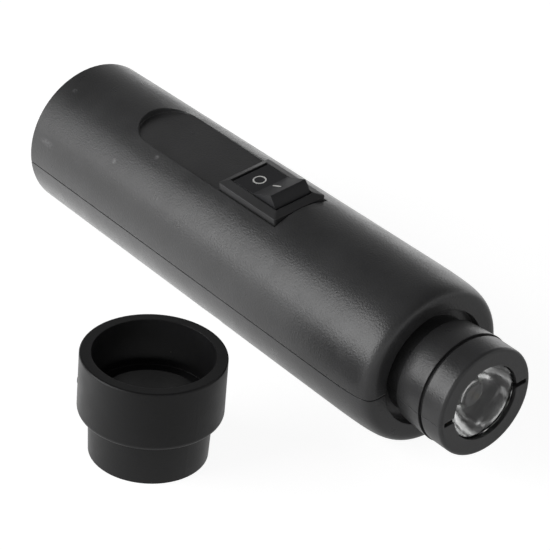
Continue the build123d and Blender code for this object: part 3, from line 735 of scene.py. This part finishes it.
@dataclass
class RockerSwitch:
    """Snap-in rocker switch: housing, rocker with its two printed marks, and the works inside."""

    placement: LampPlacement
    centre: float = -73.25 * MM
    face_level: float = 20.4 * MM
    pivot_level: float = 17.848 * MM
    valley: float = 2.6 * MM
    throw: float = radians(22.0)
    ring_centre: tuple[float, float] = (-3.4 * MM, -0.35 * MM)
    ring_radius: float = 1.45 * MM
    ring_line: float = 0.38 * MM
    bar_centre: tuple[float, float] = (2.7 * MM, 0.1 * MM)
    bar_size: tuple[float, float] = (3.3 * MM, 0.5 * MM)
    print_height: float = 0.03 * MM
    housing: MouldedPlastic = MouldedPlastic(
        colour=(0.038, 0.038, 0.039), roughness=0.42, grain=0.3 * MM, grain_depth=0.006 * MM, ior=1.45, edge=0.2 * MM, edge_wear=0.5
    )
    cap: MouldedPlastic = MouldedPlastic(
        colour=(0.023, 0.023, 0.025), roughness=0.5, grain=0.3 * MM, grain_depth=0.006 * MM, ior=1.36, edge=0.2 * MM,
        edge_wear=0.35,
    )
    ink: PrintedInk = PrintedInk()
    brass: SheetMetal = SheetMetal(colour=(0.75, 0.55, 0.26), tarnish=(0.45, 0.3, 0.14), roughness=0.32)
    spring: SheetMetal = SheetMetal(colour=(0.55, 0.55, 0.54), tarnish=(0.4, 0.38, 0.34), roughness=0.26)
    nylon: MouldedPlastic = MouldedPlastic(colour=(0.62, 0.6, 0.54), roughness=0.42, edge_wear=0.0)

    def face_point(self, along: np.ndarray, across: np.ndarray, height: np.ndarray, front: bool) -> np.ndarray:
        """Points on one of the rocker's two faces, as it stands at rest.

        The rear face is level. The front face rises from the valley line by the full throw, so a distance
        along it adds its cosine to x and its sine to z, and a height stands square to the face.

        Args:
            along: distance from the valley line, positive to the front.
            across: distance from the middle, along Y.
            height: height above the face.
            front: True for the front face.

        Returns:
            Coordinates in the lamp's frame.
        """
        slope = self.throw if front else 0.0
        valley_x = self.centre - self.valley * sin(self.throw / 2)
        x = valley_x + along * cos(slope) - height * sin(slope)
        z = self.face_level + along * sin(slope) + height * cos(slope)
        return np.stack([x, across, z], axis=-1)

    def ring(self) -> bpy.types.Object:
        """The ring printed on the rear face.

        The point at turn t and step s of the line's section stands at radius r + offset(s) from the ring's
        centre, at height(s) above the face. The section is a flat-topped loop that dips under the face.
        """
        half, top = self.ring_line / 2, self.print_height
        offset = np.array([-half, -half, -half * 0.7, half * 0.7, half, half])
        height = np.array([-top, top * 0.5, top, top, top * 0.5, -top])
        turn = np.linspace(0, 2 * pi, 96, endpoint=False)[:, None]
        radius = self.ring_radius + offset[None, :]
        along = self.ring_centre[0] + radius * np.cos(turn)
        across = self.ring_centre[1] + radius * np.sin(turn)
        points = self.face_point(along, across, height[None, :] + 0 * turn, False)
        return Surface(points, wrap_u=True, wrap_v=True).piece("rocker_off_ring", self.placement)

    def bar(self) -> bpy.types.Object:
        """The bar printed on the front face.

        The point at turn t and step s stands at share(s) of a superellipse round the bar's centre, with the
        height falling to the face at its edge.
        """
        share = np.array([0.0, 0.5, 0.85, 1.0, 1.0, 0.0])
        height = np.array([1.0, 1.0, 1.0, 0.5, -1.0, -1.0]) * self.print_height
        turn = np.linspace(0, 2 * pi, 64, endpoint=False)[:, None]
        square = 5.0
        rim = (np.abs(np.cos(turn)) ** square + np.abs(np.sin(turn)) ** square) ** (-1 / square)
        along = self.bar_centre[0] + share[None, :] * rim * np.cos(turn) * self.bar_size[0] / 2
        across = self.bar_centre[1] + share[None, :] * rim * np.sin(turn) * self.bar_size[1] / 2
        points = self.face_point(along, across, height[None, :] + 0 * turn, True)
        return Surface(points, wrap_u=True).piece("rocker_on_bar", self.placement)

    def dress(self) -> None:
        """Build the printed marks and finish every piece of the switch."""
        dress("switch_housing", self.housing.build("black_switch_housing"))
        dress("rocker", self.cap.build("black_rocker"))
        dress("rocker_plunger", self.nylon.build("natural_nylon"))
        brass = self.brass.build("stamped_brass")
        for node in ("common_terminal", "load_terminal", "contact_arm"):
            dress(node, brass)
        dress("plunger_spring", self.spring.build("drawn_spring_wire"))
        ink = self.ink.build("white_printed_ink")
        for mark in (self.ring(), self.bar()):
            mark.data.materials.append(ink)
            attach(mark, "rocker")
            log.info("built %s", mark.name)


@dataclass
class LightEngine:
    """Lens, its holder, the emitter and the board in the neck."""

    placement: LampPlacement
    edge_x: float = -0.9 * MM
    front_radius: float = 8.95 * MM
    dome: float = 0.6 * MM
    flange_front: float = -1.65 * MM
    flange_back: float = -3.05 * MM
    flange_radius: float = 10.0 * MM
    throat: float = 9.2 * MM
    foot_radius: float = 4.0 * MM
    length: float = 11.9 * MM
    cavity_radius: float = 2.9 * MM
    cavity_depth: float = 4.4 * MM
    clear: ClearPlastic = ClearPlastic(tint=(0.985, 0.99, 0.985))
    holder: MouldedPlastic = MouldedPlastic(
        colour=(0.02, 0.02, 0.021), roughness=0.38, grain=0.2 * MM, grain_depth=0.004 * MM, edge_wear=0.0
    )
    board: CircuitBoard = CircuitBoard()
    phosphor_radius: float = 1.35 * MM

    def lens_profile(self) -> np.ndarray:
        """Closed half profile of the collimator, from the crown of its domed front to the crown of its cavity.

        The front is an arc over the rim, then the flange steps out, the flared wall is an arc from the flange
        to the foot, and the cavity ends in an arc that bulges back.

        Returns:
            Rows of (x, radius).
        """
        rear = self.edge_x - self.length
        roof = rear + self.cavity_depth
        crown = (self.front_radius**2 + self.dome**2) / (2 * self.dome)
        spread = 2 * np.arctan2(self.dome, self.front_radius)
        front = arc((self.edge_x + self.dome - crown, 0), crown, 0, spread, 24)
        flare = three_point_arc(
            (self.flange_back, self.throat),
            ((self.flange_back + rear) / 2, (self.throat + self.foot_radius) / 2 + self.dome),
            (rear, self.foot_radius), 48,
        )
        inner = (self.cavity_radius**2 + self.dome**2) / (2 * self.dome)
        turn = 2 * np.arctan2(self.dome, self.cavity_radius)
        cavity = arc((roof - self.dome + inner, 0), inner, pi - turn, pi, 20)
        flange = np.array([
            (self.flange_front, self.front_radius), (self.flange_front, self.flange_radius),
            (self.flange_back, self.flange_radius),
        ])
        foot = np.array([(rear, self.cavity_radius)])
        return np.concatenate([front, flange, flare, foot, cavity])

    def lens(self) -> bpy.types.Object:
        """Revolve the profile, split its sharp corners and stand it in for the CAD lens."""
        points = turned_profile(crisp(self.lens_profile()), 192)
        lens = Surface(points, wrap_u=True).piece("clear_collimator", self.placement)
        lens.data.materials.append(self.clear.build("clear_acrylic"))
        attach(lens, "lamp")
        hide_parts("lens")
        log.info("built %s", lens.name)
        return lens

    def dress(self) -> None:
        """Build the lens and finish the pieces behind it."""
        self.lens()
        dress("lens_holder", self.holder.build("black_lens_holder"))
        dress("led_board", self.board.build("white_masked_board"))
        low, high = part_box("led_emitter")
        middle = ((low.y + high.y) / 2, (low.z + high.z) / 2)
        dress("led_emitter", Phosphor(middle, self.phosphor_radius).build("warm_phosphor"))
        low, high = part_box("resistor")
        coat = ResistorCoat(middle=(low.y + high.y) / 2, half_length=2.8 * MM)
        dress("resistor", coat.build("dipped_resistor"))


def three_point_arc(start: tuple[float, float], middle: tuple[float, float], end: tuple[float, float],
                    steps: int) -> np.ndarray:
    """Arc through three points.

    Its centre is equally far from all three, which gives two linear equations, and its angle runs evenly
    from the first point to the last by way of the middle one.

    Args:
        start: first point.
        middle: a point on the way.
        end: last point.
        steps: number of points.

    Returns:
        Rows of two coordinates.
    """
    a, b, c = (np.array(p) for p in (start, middle, end))
    centre = np.linalg.solve(2 * np.array([b - a, c - a]), np.array([b @ b - a @ a, c @ c - a @ a]))
    angles = [np.arctan2(*(p - centre)[::-1]) for p in (a, b, c)]
    turn = np.unwrap(angles)
    return arc(tuple(centre), float(np.linalg.norm(a - centre)), turn[0], turn[2], steps)


def crisp(profile: np.ndarray, gap: float = 0.03 * MM, corner: float = 0.9) -> np.ndarray:
    """Put a point close to each side of every sharp corner of a profile, so that its edges shade as edges.

    A corner is sharp where the cosine between the runs that meet there is under the given one.

    Args:
        profile: rows of two coordinates.
        gap: distance of the added points from the corner.
        corner: cosine below which a corner counts as sharp.

    Returns:
        The profile with the added points.
    """
    back, ahead = np.diff(profile, axis=0)[:-1], np.diff(profile, axis=0)[1:]
    back_len, ahead_len = np.linalg.norm(back, axis=1), np.linalg.norm(ahead, axis=1)
    sharp = (back * ahead).sum(axis=1) / (back_len * ahead_len) < corner
    at = np.nonzero(sharp)[0]
    before = profile[at + 1] - back[at] / back_len[at, None] * gap
    after = profile[at + 1] + ahead[at] / ahead_len[at, None] * gap
    rows = np.concatenate([np.arange(len(profile)), at + 1 - 0.4, at + 1 + 0.4])
    return np.concatenate([profile, before, after])[np.argsort(rows)]


@dataclass
class CellBay:
    """The three cells, their contacts and carriers, and the wires."""

    carrier: MouldedPlastic = MouldedPlastic(colour=(0.03, 0.03, 0.032), roughness=0.45, edge_wear=0.0)
    contact: SheetMetal = SheetMetal(colour=(0.66, 0.65, 0.62), tarnish=(0.45, 0.42, 0.36), roughness=0.24)
    spring: SheetMetal = SheetMetal(colour=(0.6, 0.6, 0.58), tarnish=(0.42, 0.4, 0.36), roughness=0.22)
    wires: dict[str, RGB] = field(default_factory=lambda: {
        "lead_cells_to_board": (0.015, 0.015, 0.016),
        "lead_cells_to_switch": (0.42, 0.012, 0.01),
        "lead_switch_to_board": (0.42, 0.012, 0.01),
    })

    def dress(self) -> None:
        """Give every piece in the battery bay its finish."""
        for node, pole_at_high in (("cell_right", False), ("cell_left", True), ("cell_lower", True)):
            low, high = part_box(node)
            dress(node, CellSleeve(low.x, high.x, pole_at_high=pole_at_high).build(f"{node}_sleeve"))
        carrier = self.carrier.build("black_contact_carrier")
        for node in ("rear_contact_carrier", "front_contact_carrier"):
            dress(node, carrier)
        plate = self.contact.build("nickel_plated_contact")
        for node in ("rear_bridge_contact", "rear_end_contact", "front_bridge_contact", "front_end_contact"):
            dress(node, plate)
        dress("contact_springs", self.spring.build("nickel_plated_spring"))
        for node, colour in self.wires.items():
            dress(node, WireCoat(colour).build(f"{node}_coat"))


@dataclass
class CandlingCap:
    """The loose stepped cap, with the mark that its moulding gate left on the side of the cup."""

    cup_radius: float = 16.3 * MM
    mark_turn: float = radians(-137.0)
    mark_level: float = 15.8 * MM
    mark_half: tuple[float, float] = (1.0 * MM, 0.75 * MM)
    mark_height: float = 0.3 * MM
    squareness: float = 0.55

    finish: MouldedPlastic = MouldedPlastic(
        colour=(0.008, 0.008, 0.0085), roughness=0.42, grain=0.4 * MM, grain_depth=0.009 * MM, ior=1.38, edge=0.25 * MM, dust=0.05,
        edge_wear=0.15,
    )

    def gate_mark(self) -> bpy.types.Object:
        """The nub at the gate: a squared-off lozenge bent round the cup.

        The point at turn t and tilt p lies across(t, p) round the cup's wall, up(t, p) along it and out(p) from
        it. These are the half sizes times signed powers of the cosines and sines, as on a superellipsoid.
        """
        low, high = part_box("candling_cap")
        turn = np.linspace(0, 2 * pi, 40, endpoint=False)[:, None]
        tilt = np.linspace(-pi / 2, pi / 2, 21)[None, :]

        def power(wave: np.ndarray) -> np.ndarray:
            """Signed power that squares the lozenge off."""
            return np.sign(wave) * np.abs(wave) ** self.squareness

        across = self.mark_half[0] * power(np.cos(tilt)) * power(np.cos(turn)) / self.cup_radius
        up = self.mark_half[1] * power(np.cos(tilt)) * power(np.sin(turn))
        out = self.cup_radius + self.mark_height * power(np.sin(tilt)) + 0 * turn
        angle = self.mark_turn + across
        x = (low.x + high.x) / 2 + out * np.cos(angle)
        y = (low.y + high.y) / 2 + out * np.sin(angle)
        return Surface(np.stack([x, y, self.mark_level + up], axis=-1), wrap_u=True).piece("cap_gate_mark")

    def dress(self) -> None:
        """Build the gate mark and finish the cap."""
        moulded = self.finish.build("black_cap")
        dress("candling_cap", moulded)
        mark = self.gate_mark()
        mark.data.materials.append(moulded)
        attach(mark, "cap")
        log.info("built %s", mark.name)


class LightRole(Enum):
    """What each soft light is for."""

    KEY = "key"
    FILL = "fill"
    RIM = "rim"


@dataclass
class Studio:
    """Pale floor, soft lights and the camera."""

    floor_reach: float = 4.0
    target: Vector = field(default_factory=lambda: Vector((0.0, 0.0, 0.02)))
    camera_place: tuple[float, float, float] = (394.01 * MM, -323.72 * MM, 331.37 * MM)
    camera_turn: tuple[float, float, float] = (radians(58.87795), radians(-4.3576), radians(51.02965))
    sensor: float = 36.0
    focal: float = 169.489
    wall_fade: tuple[float, float, float, float] = (0.25, 0.75, 1.0, 0.15)
    wall_dim: tuple[float, float, float, float] = (-0.95, -0.4, 0.25, 1.0)
    lighting_share: float = 0.55
    floor_white: float = 0.92
    # Painted reflection on the lamp's body: what reflections see of the floor runs along X from 1.25 at the tail end
    # to 0.42 towards the nose.
    painted_floor_reflection: tuple[float, float, float, float] = (-35 * MM, 65 * MM, 1.25, 0.42)
    lamps: dict[LightRole, tuple[tuple[float, float, float], tuple[float, float], float]] = field(
        default_factory=lambda: {
            LightRole.KEY: ((-0.45, -0.93, 0.45), (1.0, 0.8), 3.7),
            LightRole.FILL: ((0.9, -1.0, 0.5), (0.7, 0.7), 0.1),
            LightRole.RIM: ((-0.2, 1.15, 0.22), (1.2, 0.3), 1.0),
        }
    )

    def floor(self) -> bpy.types.Object:
        """A flat square floor, z = 0 over the whole grid, that shows white and keeps the object's shadow."""
        side = np.linspace(-self.floor_reach, self.floor_reach, 2)
        x, y = np.meshgrid(side, side, indexing="ij")
        points = np.stack([x, y, 0 * x - 0.00005], axis=-1)
        mesh = bpy.data.meshes.new("studio_floor")
        mesh.from_pydata(points.reshape(-1, 3).tolist(), [], [(0, 2, 3, 1)])
        floor = bpy.data.objects.new("studio_floor", mesh)
        bpy.context.scene.collection.objects.link(floor)
        floor.data.materials.append(self.floor_finish())
        return floor

    def floor_finish(self) -> bpy.types.Material:
        """White for the camera, with a diffuse share that takes the shadow; what reflections see of it is a painted
        reflection.
        """
        material = bpy.data.materials.new("white_sweep")
        material.use_nodes = True
        tree = material.node_tree
        tree.nodes.clear()
        output = tree.nodes.new("ShaderNodeOutputMaterial")
        plain = tree.nodes.new("ShaderNodeBsdfDiffuse")
        plain.inputs["Color"].default_value = (0.8, 0.8, 0.8, 1)
        faint = tree.nodes.new("ShaderNodeBsdfDiffuse")
        faint.inputs["Color"].default_value = (0.3, 0.3, 0.3, 1)
        glow = tree.nodes.new("ShaderNodeEmission")
        place = tree.nodes.new("ShaderNodeTexCoord")
        split = tree.nodes.new("ShaderNodeSeparateXYZ")
        tree.links.new(place.outputs["Object"], split.inputs[0])
        path = tree.nodes.new("ShaderNodeLightPath")
        # Painted reflection: glossy and clear rays see the floor brighter than white at the tail end and dimmer
        # towards the nose.
        painted_reflection = self.ramp(tree, split.outputs["X"], self.painted_floor_reflection)
        seen = self.ramp(tree, path.outputs["Is Camera Ray"], (0.0, 1.0, 0.0, self.floor_white))
        tree.links.new(painted_reflection, seen.node.inputs["To Min"])
        tree.links.new(seen, glow.inputs["Strength"])
        both = tree.nodes.new("ShaderNodeAddShader")
        tree.links.new(faint.outputs[0], both.inputs[0])
        tree.links.new(glow.outputs[0], both.inputs[1])
        mix = tree.nodes.new("ShaderNodeMixShader")
        tree.links.new(self.seen(tree), mix.inputs[0])
        tree.links.new(plain.outputs[0], mix.inputs[1])
        tree.links.new(both.outputs[0], mix.inputs[2])
        tree.links.new(mix.outputs[0], output.inputs["Surface"])
        return material

    def ramp(self, tree: bpy.types.NodeTree, value: Socket, span: tuple[float, float, float, float]) -> Socket:
        """A straight ramp: span gives the two values it runs between and what it returns at each."""
        node = tree.nodes.new("ShaderNodeMapRange")
        for name, number in zip(("From Min", "From Max", "To Min", "To Max"), span):
            node.inputs[name].default_value = number
        tree.links.new(value, node.inputs["Value"])
        return node.outputs["Result"]

    def seen(self, tree: bpy.types.NodeTree) -> Socket:
        """1 for camera, glossy and transmission rays, and 0 for the rest."""
        path = tree.nodes.new("ShaderNodeLightPath")
        total = path.outputs["Is Camera Ray"]
        for name in ("Is Glossy Ray", "Is Transmission Ray"):
            node = tree.nodes.new("ShaderNodeMath")
            node.operation = "MAXIMUM"
            tree.links.new(total, node.inputs[0])
            tree.links.new(path.outputs[name], node.inputs[1])
            total = node.outputs[0]
        return total

    def sky(self) -> None:
        """Soft light from pale walls all round that fade to a dark ceiling.

        What a ray that leaves a surface meets is the walls' brightness where reflections and clear plastic show
        it, and a share of that where it only lights.
        """
        world = bpy.data.worlds.new("studio")
        bpy.context.scene.world = world
        world.use_nodes = True
        tree = world.node_tree
        tree.nodes.clear()
        output = tree.nodes.new("ShaderNodeOutputWorld")
        wall = tree.nodes.new("ShaderNodeBackground")
        place = tree.nodes.new("ShaderNodeTexCoord")
        split = tree.nodes.new("ShaderNodeSeparateXYZ")
        tree.links.new(place.outputs["Generated"], split.inputs[0])
        level = self.ramp(tree, self.seen(tree), (0.0, 1.0, self.lighting_share, 1.0))
        for axis, span in (("Z", self.wall_fade), ("X", self.wall_dim)):
            product = tree.nodes.new("ShaderNodeMath")
            product.operation = "MULTIPLY"
            tree.links.new(level, product.inputs[0])
            tree.links.new(self.ramp(tree, split.outputs[axis], span), product.inputs[1])
            level = product.outputs[0]
        tree.links.new(level, wall.inputs["Strength"])
        tree.links.new(wall.outputs[0], output.inputs["Surface"])

    def light(self, role: LightRole) -> None:
        """Hang one soft light and aim it at the lamp.

        Its power is its brightness times pi times its area, so that the brightness is what a reflection shows.

        Args:
            role: which light.
        """
        place, size, brightness = self.lamps[role]
        data = bpy.data.lights.new(f"{role.value}_light", "AREA")
        data.shape = "RECTANGLE"
        data.size, data.size_y = size
        data.energy = brightness * pi * size[0] * size[1]
        lamp = bpy.data.objects.new(data.name, data)
        lamp.location = place
        lamp.rotation_mode = "QUATERNION"
        lamp.rotation_quaternion = (self.target - Vector(place)).to_track_quat("-Z", "Y")
        bpy.context.scene.collection.objects.link(lamp)

    def camera(self) -> None:
        """Stand the camera where the photograph was taken from."""
        data = bpy.data.cameras.new("camera")
        data.sensor_width, data.lens = self.sensor, self.focal
        data.clip_start, data.clip_end = 0.01, 20.0
        camera = bpy.data.objects.new("camera", data)
        camera.location = self.camera_place
        camera.rotation_euler = self.camera_turn
        bpy.context.scene.collection.objects.link(camera)
        bpy.context.scene.camera = camera

    def build(self) -> None:
        """Set the stage."""
        self.floor()
        self.sky()
        for role in LightRole:
            self.light(role)
        self.camera()
        bpy.context.scene.view_settings.view_transform = "Standard"


def main() -> None:
    """Build and dress every sub-assembly and set the stage."""
    logging.basicConfig(level=logging.INFO, format="%(name)s: %(message)s")
    placement = LampPlacement()
    Clamshell().dress()
    RockerSwitch(placement).dress()
    LightEngine(placement).dress()
    CellBay().dress()
    CandlingCap().dress()
    Studio().build()


if __name__ == "__main__":
    main()
